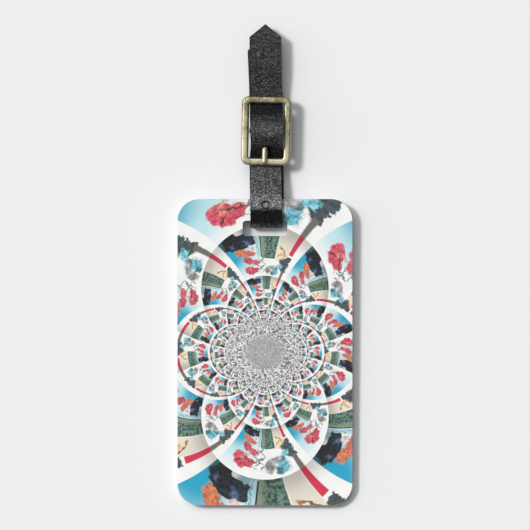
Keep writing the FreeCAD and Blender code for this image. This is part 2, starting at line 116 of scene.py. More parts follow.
# ---------------------------------------------------------------- the strap's route
class Route:
    """The strap's middle line in the YZ plane: straight runs joined by tangent arcs."""

    def __init__(self, corners):
        places = [Vector((y, z)) for y, z, _ in corners]
        self.stretches = []
        self.length = 0.0
        start = places[0]
        for i in range(1, len(corners) - 1):
            arrive = (places[i] - places[i - 1]).normalized()
            leave = (places[i + 1] - places[i]).normalized()
            turn = math.atan2(arrive.x * leave.y - arrive.y * leave.x, arrive.dot(leave))
            radius = corners[i][2]
            reach = radius * math.tan(abs(turn) / 2)
            entry = places[i] - arrive * reach
            self.add(start, arrive, (entry - start).length, 0.0)
            self.add(entry, arrive, abs(turn) * radius, math.copysign(1 / radius, turn))
            start = places[i] + leave * reach
        self.add(start, (places[-1] - start).normalized(), (places[-1] - start).length, 0.0)

    def add(self, start, heading, length, curve):
        self.stretches.append((self.length, start, heading, curve))
        self.length += length

    def at(self, along):
        """The place and the grain side's direction at a length along the route, as (y, z) vectors."""
        first, start, heading, curve = self.stretches[0]
        for stretch in self.stretches:
            if stretch[0] <= along:
                first, start, heading, curve = stretch
        gone = along - first
        left = Vector((-heading.y, heading.x))
        if curve:
            angle = gone * curve
            place = start + heading * (math.sin(angle) / curve) + left * ((1 - math.cos(angle)) / curve)
            heading = heading * math.cos(angle) + left * math.sin(angle)
        else:
            place = start + heading * gone
        return place, Vector((heading.y, -heading.x))

    def reach(self, y, after=0.0):
        """The length along the route at which it next passes y."""
        step = 0.05 * MM
        along = after + step
        side = self.at(along)[0].x > y
        while along < self.length and (self.at(along)[0].x > y) == side:
            along += step
        return along


WRAP_CLEAR = 0.12 * MM
WRAP_RADIUS = BAR_RADIUS + WRAP_CLEAR + SKIVED / 2
WRAP_TURNS = 3
FIXED_DIP = BAR.y + 6.6 * MM
TAB_DIP = BAR.y + 5.8 * MM


def wrap_corners():
    """The fold round the centre bar, between the two slopes that touch it."""
    rise = math.atan2(BAR.z - FIXED_Z, FIXED_DIP - BAR.y)
    rise += math.asin(WRAP_RADIUS / math.hypot(FIXED_DIP - BAR.y, BAR.z - FIXED_Z))
    fall = math.atan2(BAR.z - TAB_Z, TAB_DIP - BAR.y)
    fall -= math.asin(WRAP_RADIUS / math.hypot(TAB_DIP - BAR.y, BAR.z - TAB_Z))
    first = math.pi / 2 - rise
    last = 3 * math.pi / 2 - fall
    step = (last - first) / WRAP_TURNS
    out = WRAP_RADIUS / math.cos(step / 2)
    angles = [first + (i + 0.5) * step for i in range(WRAP_TURNS)]
    return [(BAR.y + out * math.cos(a), BAR.z + out * math.sin(a), WRAP_RADIUS) for a in angles]


FOLD_SAG = 0.3 * MM
TIP_DROOP = 0.8 * MM
DROOP_START = LOOP_Y + 1.5 * MM
RAMP_TOP = BAR.y + 18.1 * MM
RAMP_FOOT = BAR.y + 12.1 * MM
DIP_HALF = 7.3 * MM
CREST_HALF = 3.7 * MM
SLOPE_FOOT = 28.0 * MM
SLOPE_MIDDLE = (23.5 * MM, 4.55 * MM)
SLOPE_TOP = 17.2 * MM
# Corners of the route from the tip to the folded end: y, z and the radius of the bend there.
ROUTE = Route([
    (TIP_Y, TAIL_Z - TIP_DROOP, 0),
    (DROOP_START, TAIL_Z, 14.0 * MM),
    (RAMP_TOP, TAIL_Z, 8.2 * MM),
    (RAMP_FOOT, UNDER_Z, 5.8 * MM),
    (BAR.y + DIP_HALF, UNDER_Z, 1.5 * MM),
    (BAR.y + CREST_HALF, CREST_Z, 3.6 * MM),
    (BAR.y - CREST_HALF, CREST_Z, 3.6 * MM),
    (BAR.y - DIP_HALF, UNDER_Z, 1.5 * MM),
    (SLOPE_FOOT, UNDER_Z, 8.0 * MM),
    (*SLOPE_MIDDLE, 12.0 * MM),
    (SLOPE_TOP, FRONT_Z, 3.0 * MM),
    (FOLD_Y, FRONT_Z - FOLD_SAG, 1.4 * MM),
    (FOLD_Y, BACK_Z, 1.075 * MM),
    (LOOP_Y, BACK_Z, (LOOP_Z - BACK_Z) / 2),
    (LOOP_Y, LOOP_Z, (LOOP_Z - BACK_Z) / 2),
    (RAMP_TOP, LOOP_Z, 7.0 * MM),
    (RAMP_FOOT, FIXED_Z, 7.0 * MM),
    (FIXED_DIP, FIXED_Z, 2.5 * MM),
    *wrap_corners(),
    (TAB_DIP, TAB_Z, 2.0 * MM),
    (TAB_END, TAB_Z, 0),
])
# Lengths along the route: where the tail piece ends, the crest, the holes, the folds and the pared end.
JOIN = ROUTE.reach(BAR.y + 9.0 * MM)
CREST = ROUTE.reach(BAR.y)
SPARE_HOLE = ROUTE.reach(17.49 * MM)
PRONG_HOLE = ROUTE.reach(BAR.y - 4.75 * MM)
PRONG_HOLE_LEAN = 0.77
SLOT_FOLD = ROUTE.reach(FOLD_Y + 0.1 * MM)
BACK_LOW = ROUTE.reach(20.0 * MM, SLOT_FOLD + 4 * MM)
BACK_HIGH = ROUTE.reach(53.0 * MM, BACK_LOW)
LOOP_TURN = ROUTE.reach(LOOP_Y - 0.1 * MM, BACK_HIGH)
FIXED_MIDDLE = ROUTE.reach(50.0 * MM, LOOP_TURN + 4 * MM)
PARED = ROUTE.reach(44.2 * MM, FIXED_MIDDLE)
WRAP_SLIT = ROUTE.reach(BAR.y - WRAP_RADIUS * 0.7, PARED)


def eased(stops, value):
    """A value carried smoothly through (place, amount) stops."""
    for (a, first), (b, last) in zip(stops, stops[1:]):
        if value < b:
            part = min(1.0, max(0.0, (value - a) / (b - a)))
            return first + (last - first) * part * part * (3 - 2 * part)
    return stops[-1][1]


# How far each stretch lies to the right of the line through the card's middle.
SKEW_STOPS = [
    (0.0, 0.13 * MM),
    (TIP_LENGTH + 6 * MM, 0.16 * MM),
    (JOIN, 0.34 * MM),
    (CREST, 0.52 * MM),
    (PRONG_HOLE, 0.42 * MM),
    (PRONG_HOLE + 6 * MM, 0.13 * MM),
    (SLOT_FOLD, 0.38 * MM),
    (BACK_LOW, 0.85 * MM),
    (BACK_HIGH, 0.05 * MM),
    (LOOP_TURN, -0.42 * MM),
    (FIXED_MIDDLE, 0.05 * MM),
    (PARED, 0.5 * MM),
]
# Painted sheen: how pale the grain is painted, standing in for light caught by the leather; most where
# the front rises over the card towards the light, least in the folds, which stay dark as painted shade.
PAINTED_SHEEN_STOPS = [
    (0.0, 0.20),
    (ROUTE.reach(50.0 * MM), 0.20),
    (ROUTE.reach(47.6 * MM), 0.12),
    (ROUTE.reach(44.0 * MM), 0.04),
    (ROUTE.reach(42.0 * MM), 0.12),
    (ROUTE.reach(39.9 * MM), 0.42),
    (ROUTE.reach(38.6 * MM), 0.36),
    (ROUTE.reach(36.4 * MM), 0.13),
    (ROUTE.reach(32.0 * MM), 0.06),
    (ROUTE.reach(28.6 * MM), 0.38),
    (ROUTE.reach(21.4 * MM), 0.46),
    (ROUTE.reach(19.0 * MM), 1.0),
    (ROUTE.reach(17.3 * MM), 1.0),
    (ROUTE.reach(15.6 * MM), 0.0),
    (ROUTE.reach(12.6 * MM), 0.0),
    (SLOT_FOLD, 0.50),
    (BACK_LOW, 0.20),
]
PARING = 1.6 * MM
THICKNESS_STOPS = [
    (0.0, LEATHER),
    (PARED, LEATHER),
    (PARED + PARING, SKIVED),
]


# ---------------------------------------------------------------- mesh tools
def new_piece(name, bm, body=None, smooth_below=40.0):
    """A piece from a bmesh, smooth except along edges that turn by more than an angle."""
    limit = math.radians(smooth_below)
    bmesh.ops.recalc_face_normals(bm, faces=bm.faces)
    for face in bm.faces:
        face.smooth = True
    for edge in bm.edges:
        if len(edge.link_faces) == 2:
            edge.smooth = edge.calc_face_angle(0.0) < limit
    mesh = bpy.data.meshes.new(name)
    bm.to_mesh(mesh)
    bm.free()
    piece = bpy.data.objects.new(name, mesh)
    bpy.context.scene.collection.objects.link(piece)
    if body:
        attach(piece, body)
    return piece


def skin_rings(bm, rings, closed=False):
    """Quads between neighbouring rings of points, with a cap at each end unless the rings close."""
    loops = [[bm.verts.new(point) for point in ring] for ring in rings]
    pairs = list(zip(loops, loops[1:]))
    if closed:
        pairs.append((loops[-1], loops[0]))
    for one, two in pairs:
        count = len(one)
        for i in range(count):
            j = (i + 1) % count
            bm.faces.new((one[i], one[j], two[j], two[i]))
    if not closed:
        bm.faces.new(loops[0][::-1])
        bm.faces.new(loops[-1])
    return loops


def applied(piece):
    """The piece with its modifiers made real."""
    depsgraph = bpy.context.evaluated_depsgraph_get()
    mesh = bpy.data.meshes.new_from_object(piece.evaluated_get(depsgraph))
    piece.modifiers.clear()
    old = piece.data
    piece.data = mesh
    bpy.data.meshes.remove(old)
    return piece


def arc(centre, radius, first, last, steps):
    """Points of an arc from one angle to another, in degrees."""
    points = []
    for i in range(steps + 1):
        angle = math.radians(first + (last - first) * i / steps)
        points.append((centre[0] + radius * math.cos(angle), centre[1] + radius * math.sin(angle)))
    return points


def rounded_loop(half, radius, corner_steps=8, side_steps=1):
    """Points round a rectangle with rounded corners, the same number on each side and corner."""
    corners = []
    for x, y, first in ((1, 1, 0), (-1, 1, 90), (-1, -1, 180), (1, -1, 270)):
        centre = (x * (half.x - radius), y * (half.y - radius))
        corners.append(arc(centre, radius, first, first + 90, corner_steps))
    points = []
    for corner, following in zip(corners, corners[1:] + corners[:1]):
        points += corner
        a, b = Vector(corner[-1]), Vector(following[0])
        points += [tuple(a.lerp(b, i / side_steps)) for i in range(1, side_steps)]
    return points


# ---------------------------------------------------------------- leather strap
ACROSS = 18
EDGE_ROUND = 0.26 * MM
CROWN = 0.05 * MM
RING_STEP = 0.4 * MM
TIP_BLUNT = 0.12 * MM
CUT_EDGE = 0.1 * MM
SPREAD = 0.3 * MM
SPREAD_REACH = 3.6 * MM
SPREAD_STOPS = [
    (CREST - SPREAD_REACH, 0.0),
    (CREST, SPREAD),
    (CREST + SPREAD_REACH, 0.0),
]
WANDER = 0.05 * MM
RIPPLE = 0.03 * MM


def half_width(along):
    """Half of the strap's width: two straight cuts to its point, and a little spread over the bar."""
    if along >= TIP_LENGTH:
        return HALF_WIDTH + eased(SPREAD_STOPS, along)
    return TIP_BLUNT + (HALF_WIDTH - TIP_BLUNT) * along / TIP_LENGTH


def strap_section(half, thickness):
    """One ring of the strap: a crowned grain side, rounded edges and a flat flesh side."""
    radius = min(EDGE_ROUND, 0.4 * thickness, 0.9 * half)
    side = half - radius
    top = thickness / 2
    edge_top = top - CROWN - radius
    edge_low = radius - top
    ring = []
    for i in range(1, ACROSS):
        part = 2 * i / ACROSS - 1
        ring.append((side * part, top - CROWN * part * part))
    ring += arc((side, edge_top), radius, 90, 0, 4)
    ring += arc((side, edge_low), radius, 0, -90, 4)
    ring += [(-side * (2 * i / ACROSS - 1), -top) for i in range(1, ACROSS)]
    ring += arc((-side, edge_low), radius, 270, 180, 4)
    ring += arc((-side, edge_top), radius, 180, 90, 4)
    return ring


def flat_strip(name, first, last):
    """A stretch of the strap laid flat: across it in x, along it in y, its grain side up."""
    lengths = [first, first + CUT_EDGE]
    count = round((last - first) / RING_STEP)
    lengths += [first + (last - first) * i / count for i in range(1, count)]
    lengths += [last - CUT_EDGE, last]
    if first < TIP_LENGTH < last:
        lengths = sorted(lengths + [TIP_LENGTH])
    rings = []
    for along in lengths:
        inset = CUT_EDGE if along in (first, last) and first != JOIN and last != JOIN else 0.0
        inset = min(inset, half_width(along) / 2)
        section = strap_section(half_width(along) - inset, eased(THICKNESS_STOPS, along) - 2 * inset)
        rings.append([(x, along, level) for x, level in section])
    bm = bmesh.new()
    skin_rings(bm, rings)
    return new_piece(name, bm)


def punch(piece, along, half, thickness, lean=0.0, aside=0.0):
    """Cuts an oval hole with softly flared rims through a flat strip, slanted along it by lean."""
    flare = 0.14 * MM
    surface = thickness / 2
    levels = [
        (-2 * surface, flare),
        (-surface, flare),
        (0.2 * MM - surface, 0.0),
        (surface - 0.25 * MM, 0.0),
        (surface - 0.08 * MM, 0.35 * flare),
        (surface, flare),
        (2 * surface, flare),
    ]
    radius = min(half)
    rings = []
    for level, grow in levels:
        size = Vector((half[0] + grow, half[1] + grow))
        loop = rounded_loop(size, radius + grow - 0.001 * MM, 8)
        rings.append([(x + aside, y + along + lean * level, level) for x, y in loop])
    bm = bmesh.new()
    skin_rings(bm, rings)
    cutter = new_piece(piece.name + "_punch", bm)
    cut = piece.modifiers.new("punch", "BOOLEAN")
    cut.operation = "DIFFERENCE"
    cut.solver = "EXACT"
    cut.object = cutter
    applied(piece)
    bpy.data.objects.remove(cutter)


SPARE_RADIUS = 0.92 * MM
SPARE_ASIDE = -0.2 * MM
SPARE_LEAN = -0.35
PRONG_HOLE_HALF = (1.0 * MM, 1.1 * MM)
WRAP_SLIT_HALF = (0.95 * MM, 2.75 * MM)
RIM = 0.12 * MM
# The holes whose rims are inked dark: place across and along the strap, and radius.
RIMS = [
    (SPARE_ASIDE, SPARE_HOLE, SPARE_RADIUS + RIM),
    (0.0, PRONG_HOLE, PRONG_HOLE_HALF[1] + RIM),
]


def bend_to_route(piece):
    """Bends a flat strip onto the route, and keeps each point's flat place for the leather's grain."""
    mesh = piece.data
    mesh.attributes.new("flat", "FLOAT_VECTOR", "POINT")
    mesh.attributes.new("border", "FLOAT", "POINT")
    mesh.attributes.new("painted_sheen", "FLOAT", "POINT")
    flat = mesh.attributes["flat"]
    border = mesh.attributes["border"]
    painted_sheen = mesh.attributes["painted_sheen"]
    taper = math.cos(math.atan2(HALF_WIDTH, TIP_LENGTH))
    for index, vertex in enumerate(mesh.vertices):
        across, along, level = vertex.co
        flat.data[index].vector = vertex.co / MM
        room = (half_width(along) - abs(across)) * (taper if along < TIP_LENGTH else 1.0)
        for aside, place, radius in RIMS:
            room = min(room, max(0.0, math.hypot(across - aside, along - place) - radius))
        border.data[index].value = room / MM
        # Painted sheen: how much pale highlight the leather material paints at this point.
        painted_sheen.data[index].value = eased(PAINTED_SHEEN_STOPS, along)
        wander = WANDER * noise.noise(Vector((along * 260, 3.1, across * 40)))
        ripple = RIPPLE * noise.noise(Vector((across * 330, along * 330, 9.7)))
        place, grain = ROUTE.at(along)
        place = place + grain * (level + ripple)
        vertex.co = (across + wander + eased(SKEW_STOPS, along), place.x, place.y)
    for polygon in mesh.polygons:
        polygon.use_smooth = True
    return piece


def make_tail():
    tail = flat_strip("strap_tail_leather", 0.0, JOIN)
    bend_to_route(tail)
    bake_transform(tail)
    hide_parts("strap_tail")
    return tail


def make_loop():
    loop = flat_strip("strap_loop_leather", JOIN, ROUTE.length)
    punch(loop, SPARE_HOLE, (SPARE_RADIUS, SPARE_RADIUS), LEATHER, SPARE_LEAN, SPARE_ASIDE)
    punch(loop, PRONG_HOLE, PRONG_HOLE_HALF, LEATHER, PRONG_HOLE_LEAN)
    punch(loop, WRAP_SLIT, WRAP_SLIT_HALF, LEATHER)
    bend_to_route(loop)
    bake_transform(loop)
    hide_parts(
        "strap_crest", "strap_front_flex", "strap_front_base", "strap_slot_bend",
        "strap_back_base", "strap_back_flex", "strap_back_run", "strap_loop_bend",
        "strap_fixed_run", "strap_bar_wrap", "strap_fold_tab",
    )
    return loop


THREAD_RADIUS = 0.17 * MM
STITCH_ROWS = (BAR.y + 8.0 * MM, BAR.y + 10.4 * MM)
STITCH_PLACES = (-2.8 * MM, 0.0, 2.8 * MM)
STITCH_PROUD = 0.04 * MM
STITCH_DIP = 0.15 * MM
STITCH_STEPS = 12
LEG_STEPS = 6


def sweep(bm, points, radius_at, sides=10):
    """A round bar along points, whose radius depends on the part of the length gone."""
    rings = []
    total = len(points) - 1
    for i, point in enumerate(points):
        ahead = points[min(i + 1, total)] - points[max(i - 1, 0)]
        across = Vector((0, 1, 0)) if abs(ahead.normalized().y) < 0.9 else Vector((1, 0, 0))
        first = ahead.cross(across).normalized()
        second = ahead.cross(first).normalized()
        radius = radius_at(i / total)
        ring = []
        for k in range(sides):
            angle = 2 * math.pi * k / sides
            ring.append(point + (first * math.cos(angle) + second * math.sin(angle)) * radius)
        rings.append(ring)
    skin_rings(bm, rings)


def make_stitches():
    """Waxed thread in two rows: a stitch on each face between holes, and a leg down each hole."""
    bm = bmesh.new()
    top = FIXED_Z + LEATHER / 2 - THREAD_RADIUS + STITCH_PROUD
    base = TAB_Z - SKIVED / 2 + THREAD_RADIUS
    for y in STITCH_ROWS:
        for left, right in zip(STITCH_PLACES, STITCH_PLACES[1:]):
            for level, dip in ((top, -STITCH_DIP), (base, STITCH_DIP)):
                points = []
                for i in range(STITCH_STEPS + 1):
                    part = i / STITCH_STEPS
                    sink = dip * (2 * part - 1) ** 4
                    points.append(Vector((left + (right - left) * part, y, level + sink)))
                sweep(bm, points, lambda part: THREAD_RADIUS)
        for x in STITCH_PLACES:
            legs = []
            for i in range(LEG_STEPS + 1):
                legs.append(Vector((x, y, base + (top - base) * i / LEG_STEPS)))
            sweep(bm, legs, lambda part: THREAD_RADIUS)
    thread = new_piece("fold_thread", bm, "loop")
    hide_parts("fold_stitches")
    return thread


# ---------------------------------------------------------------- brass buckle
FRAME_HALF = Vector((7.2, 10.05)) * MM
RAIL = 2.15 * MM
FRAME_CORNER = 2.3 * MM
WINDOW_CORNER = 0.6 * MM
FRAME_TOP = 0.8 * MM
INNER_ROUND = 0.62 * MM
OUTER_ROUND = 0.66 * MM
UNDER_ROUND = 0.35 * MM
FINE_SWELL = 0.025 * MM
BROAD_SWELL = 0.035 * MM


def frame_section(width):
    """The frame's section, from its inner wall over the top to its outer wall and back beneath."""
    section = arc((INNER_ROUND, FRAME_TOP - INNER_ROUND), INNER_ROUND, 180, 95, 5)
    section.append((width * 0.5, FRAME_TOP))
    section += arc((width - OUTER_ROUND, FRAME_TOP - OUTER_ROUND), OUTER_ROUND, 85, 0, 6)
    section += arc((width - UNDER_ROUND, UNDER_ROUND - FRAME_TOP), UNDER_ROUND, 0, -90, 4)
    section += arc((UNDER_ROUND, UNDER_ROUND - FRAME_TOP), UNDER_ROUND, -90, -180, 4)
    return section


def make_buckle():
    """The cast frame: its section carried round the window, slightly uneven."""
    outer = rounded_loop(FRAME_HALF, FRAME_CORNER, 9, 14)
    window = FRAME_HALF - Vector((RAIL, RAIL))
    inner = rounded_loop(window, WINDOW_CORNER, 9, 14)
    rings = []
    for inside, outside in zip(inner, outer):
        start = Vector((*inside, 0))
        along = Vector((*outside, 0)) - start
        outward = along.normalized()
        ring = []
        for distance, level in frame_section(along.length):
            point = start + outward * distance + Vector((0, 0, level))
            middle_way = start + outward * along.length / 2
            swell = noise.noise(point * 900) * FINE_SWELL + noise.noise(point * 260) * BROAD_SWELL
            ring.append(point + (point - middle_way).normalized() * swell)
        rings.append(ring)
    bm = bmesh.new()
    skin_rings(bm, rings, closed=True)
    bm.transform(BUCKLE)
    buckle = new_piece("buckle_cast_frame", bm, "buckle", 180.0)
    rounder = buckle.modifiers.new("rounder", "SUBSURF")
    rounder.levels = 1
    rounder.render_levels = 1
    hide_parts("buckle_frame")
    return buckle


PRONG_HALF_WIDTH = 0.86 * MM
PRONG_HALF_HEIGHT = 0.6 * MM
WIRE_RADIUS = 0.65 * MM
EYE_CLEAR = 0.03 * MM
EYE_RADIUS = BAR_RADIUS + WIRE_RADIUS + EYE_CLEAR
PRONG_RISE = 1.47 * MM
PRONG_REACH = 9.7 * MM
PRONG_DENT = 0.02 * MM
TIP_ROUND = 0.8 * MM
LEAST_TIP = 0.08
EYE_END = 0.72
EYE_FIRST = 188.0
EYE_LAST = 450.0
EYE_STEPS = 30
SHANK_STEPS = 34
# How high the shank runs over the bar's axis, by the distance gone towards the card.
SHANK_STOPS = [
    (0.0, EYE_RADIUS),
    (2.4 * MM, PRONG_RISE),
    (8.4 * MM, PRONG_RISE),
    (9.8 * MM, 1.43 * MM),
]


def prong_line():
    """The wire's middle line in the YZ plane round the bar: an open eye, then the shank."""
    points = [Vector(p) for p in arc((0, 0), EYE_RADIUS, EYE_FIRST, EYE_LAST, EYE_STEPS)]
    for i in range(1, SHANK_STEPS + 1):
        gone = PRONG_REACH * math.sin(math.pi / 2 * i / SHANK_STEPS)
        points.append(Vector((-gone, eased(SHANK_STOPS, gone))))
    return points


def make_prong():
    """The flattened wire, swept along its middle line, with a blunt round tip."""
    line = prong_line()
    rings = []
    sides = 20
    for i, point in enumerate(line):
        ahead = (line[min(i + 1, len(line) - 1)] - line[max(i - 1, 0)]).normalized()
        out = Vector((ahead.y, -ahead.x))
        to_tip = max(0.0, 1 - (PRONG_REACH + point.x) / TIP_ROUND) if i > EYE_STEPS else 0.0
        blunt = math.sqrt(max(0.0, 1 - to_tip * to_tip))
        taper = 1.0 - 0.1 * max(0.0, -point.x / PRONG_REACH)
        if i == 0:
            blunt = EYE_END
        wide = PRONG_HALF_WIDTH * taper * max(blunt, LEAST_TIP)
        tall = PRONG_HALF_HEIGHT * max(blunt, LEAST_TIP)
        ring = []
        for k in range(sides):
            angle = 2 * math.pi * k / sides
            place = point + out * (tall * math.sin(angle))
            across = wide * math.cos(angle)
            dent = PRONG_DENT * noise.noise(Vector((across, place.x, place.y)) * 700)
            ring.append(Vector((across + dent, place.x, place.y + dent)))
        rings.append(ring)
    bm = bmesh.new()
    skin_rings(bm, rings)
    eye = Vector((high("prong").x - WIRE_RADIUS, BAR.y, BAR.z))
    bm.transform(Matrix.Translation(eye) @ Matrix.Rotation(BUCKLE_TURN, 4, "Z"))
    prong = new_piece("prong_wire", bm, "prong", 60.0)
    rounder = prong.modifiers.new("rounder", "SUBSURF")
    rounder.levels = 1
    rounder.render_levels = 1
    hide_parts("prong")
    return prong


# ---------------------------------------------------------------- card
CORE_RIM = 0.12 * MM
PRINT_RIM = 0.045 * MM
PRINT_INSET = 0.03 * MM


def plate(name, bottom, top, inset, rounding):
    """One layer of the card: the outline with the strap's slot, with rounded rims."""
    half = CARD_SIZE / 2
    slot_half = SLOT_SIZE / 2
    steps = 3
    profile = []
    for i in range(steps + 1):
        angle = math.pi / 2 * i / steps
        profile.append((rounding * (1 - math.sin(angle)), bottom + rounding * (1 - math.cos(angle))))
    profile += [(pulled, bottom + top - level) for pulled, level in reversed(profile)]
    bm = bmesh.new()
    ends = []
    for size, radius, centre, sign in (
        (half, CARD_CORNER, Vector((0, half.y)), 1),
        (slot_half, SLOT_CORNER, Vector((0, SLOT_ACROSS_CARD)), -1),
    ):
        loops = []
        for pulled, level in profile:
            shrink = sign * (inset + pulled)
            loop = rounded_loop(size - Vector((shrink, shrink)), radius - shrink, 12)
            loops.append([bm.verts.new((x + centre.x, y + centre.y, level)) for x, y in loop])
        for one, two in zip(loops, loops[1:]):
            for i in range(len(one)):
                j = (i + 1) % len(one)
                bm.faces.new((one[i], one[j], two[j], two[i]))
        ends.append((loops[0], loops[-1]))
    for which in (0, 1):
        rims = []
        for pair in ends:
            loop = pair[which]
            for a, b in zip(loop, loop[1:] + loop[:1]):
                rims.append(bm.edges.get((a, b)))
        bmesh.ops.triangle_fill(bm, use_beauty=True, edges=rims)
    bm.transform(CARD)
    return new_piece(name, bm, "tag", 14.0)


def make_card():
    """The acrylic core and the printed layer on each face."""
    core = plate("card_acrylic_core", PRINT, CARD_THICK - PRINT, 0.0, CORE_RIM)
    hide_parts("tag_plate")
    front = plate("card_front_print", CARD_THICK - PRINT, CARD_THICK, PRINT_INSET, PRINT_RIM)
    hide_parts("front_print")
    back = plate("card_back_print", 0.0, PRINT, PRINT_INSET, PRINT_RIM)
    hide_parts("back_print")
    return core, front, back


# ---------------------------------------------------------------- material tools
def linear(red, green, blue):
    """A colour given as 0 to 255 display values, as the numbers that shaders use."""
    values = []
    for value in (red, green, blue):
        value /= 255
        values.append(value / 12.92 if value <= 0.04045 else ((value + 0.055) / 1.055) ** 2.4)
    return (*values, 1.0)


class Term:
    """A number that a material works out at each point, written with the usual operators."""

    def __init__(self, tree, socket):
        self.tree = tree
        self.socket = socket

    def math(self, operation, *others):
        node = self.tree.nodes.new("ShaderNodeMath")
        node.operation = operation
        for socket, value in zip(node.inputs, (self, *others)):
            plug(self.tree, socket, value)
        return Term(self.tree, node.outputs[0])

    def __add__(self, other):
        return self.math("ADD", other)

    def __sub__(self, other):
        return self.math("SUBTRACT", other)

    def __mul__(self, other):
        return self.math("MULTIPLY", other)

    def __truediv__(self, other):
        return self.math("DIVIDE", other)

    def fraction(self):
        return self.math("FRACT")

    def size(self):
        return self.math("ABSOLUTE")

    def ramp(self, start, end):
        """0 before start and 1 after end, with a smooth rise between."""
        node = self.tree.nodes.new("ShaderNodeMapRange")
        node.interpolation_type = "SMOOTHSTEP"
        plug(self.tree, node.inputs["Value"], self)
        node.inputs["From Min"].default_value = start
        node.inputs["From Max"].default_value = end
        return Term(self.tree, node.outputs["Result"])

    def between(self, start, end, soft):
        """1 between two values and 0 outside them."""
        return self.ramp(start - soft, start + soft) * self.ramp(end + soft, end - soft)


def plug(tree, socket, value):
    if isinstance(value, Term):
        tree.links.new(value.socket, socket)
    else:
        socket.default_value = value


def new_material(name):
    """An empty node material: its tree and its Principled shader."""
    material = bpy.data.materials.new(name)
    material.use_nodes = True
    tree = material.node_tree
    shader = tree.nodes["Principled BSDF"]
    return material, tree, shader


def split(tree, vector):
    node = tree.nodes.new("ShaderNodeSeparateXYZ")
    tree.links.new(vector.socket, node.inputs[0])
    return [Term(tree, output) for output in node.outputs]


def join(tree, x, y, z=0.0):
    node = tree.nodes.new("ShaderNodeCombineXYZ")
    for socket, value in zip(node.inputs, (x, y, z)):
        plug(tree, socket, value)
    return Term(tree, node.outputs[0])


def object_place(tree):
    """The point's place in the object's own frame, in millimetres."""
    node = tree.nodes.new("ShaderNodeTexCoord")
    scale = tree.nodes.new("ShaderNodeVectorMath")
    scale.operation = "SCALE"
    scale.inputs["Scale"].default_value = 1 / MM
    tree.links.new(node.outputs["Object"], scale.inputs[0])
    return Term(tree, scale.outputs[0])


def kept_place(tree, name, output="Vector"):
    """A value kept on the mesh's points under a name."""
    node = tree.nodes.new("ShaderNodeAttribute")
    node.attribute_name = name
    return Term(tree, node.outputs[output])


def stretched(tree, vector, factors):
    node = tree.nodes.new("ShaderNodeVectorMath")
    node.operation = "MULTIPLY"
    tree.links.new(vector.socket, node.inputs[0])
    node.inputs[1].default_value = factors
    return Term(tree, node.outputs[0])


def noise_at(tree, vector, scale, detail=2.0, roughness=0.5):
    node = tree.nodes.new("ShaderNodeTexNoise")
    tree.links.new(vector.socket, node.inputs["Vector"])
    node.inputs["Scale"].default_value = scale
    node.inputs["Detail"].default_value = detail
    node.inputs["Roughness"].default_value = roughness
    return Term(tree, node.outputs["Fac"])


def cells_at(tree, vector, scale, feature="F1", output="Distance"):
    node = tree.nodes.new("ShaderNodeTexVoronoi")
    node.feature = feature
    tree.links.new(vector.socket, node.inputs["Vector"])
    node.inputs["Scale"].default_value = scale
    return Term(tree, node.outputs[output])


def mixed(tree, mask, under, over):
    """One colour over another where the mask is 1."""
    node = tree.nodes.new("ShaderNodeMix")
    node.data_type = "RGBA"
    plug(tree, node.inputs["Factor"], mask)
    plug(tree, node.inputs[6], under)
    plug(tree, node.inputs[7], over)
    return Term(tree, node.outputs[2])


def multiplied(tree, colour, tone, amount):
    """A colour darkened by a tone, by some amount."""
    node = tree.nodes.new("ShaderNodeMix")
    node.data_type = "RGBA"
    node.blend_type = "MULTIPLY"
    node.inputs["Factor"].default_value = amount
    plug(tree, node.inputs[6], colour)
    plug(tree, node.inputs[7], tone)
    return Term(tree, node.outputs[2])


def bump(tree, shader, height, distance, strength=1.0):
    node = tree.nodes.new("ShaderNodeBump")
    node.inputs["Strength"].default_value = strength
    node.inputs["Distance"].default_value = distance
    tree.links.new(height.socket, node.inputs["Height"])
    tree.links.new(node.outputs["Normal"], shader.inputs["Normal"])


def set_inputs(tree, shader, **values):
    for name, value in values.items():
        plug(tree, shader.inputs[name.replace("_", " ")], value)


# ---------------------------------------------------------------- the card's printed pattern
PRINT_MIDDLE = (0.0, -25.3)
BLUR_HALF = (6.1, 5.2)
TILE_WIDE = 0.0241
TILE_TALL = 0.01803
WOBBLE = 0.13
DARKER = 0.42
PALER = 1.3
PALE_LIFT = 0.03
WHITE = linear(253, 252, 250)
DARK_MIDDLE = linear(146, 147, 147)
PALE_MIDDLE = linear(190, 190, 188)

